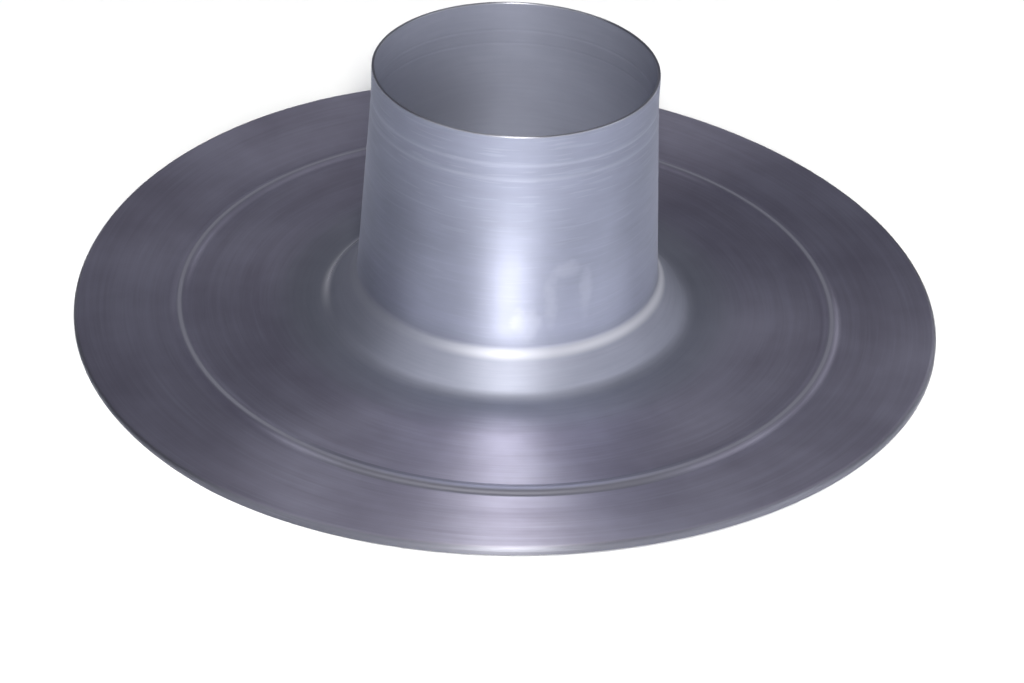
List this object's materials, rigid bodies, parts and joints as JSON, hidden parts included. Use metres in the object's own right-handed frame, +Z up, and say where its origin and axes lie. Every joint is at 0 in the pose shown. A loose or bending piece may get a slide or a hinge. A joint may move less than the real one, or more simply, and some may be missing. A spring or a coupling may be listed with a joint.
{
  "type": "roof vent flange",
  "caption": "Spun sheet metal roof vent flange: wide round base with a raised stiffening bead, a flared skirt and an open collar that passes a vent pipe.",
  "frame": {"origin": "on the collar's axis, in the plane that the flange lies on", "axes": "+Z up the collar, out of the roof; X and Y in the roof's plane"},
  "size_m": [0.352, 0.352, 0.108],
  "materials": {
    "spun_aluminium": "mill-finish sheet with fine spinning lines round the axis"
  },
  "bodies": {
    "root": {"vent_flange": "spun_aluminium"}
  },
  "joints": []
}
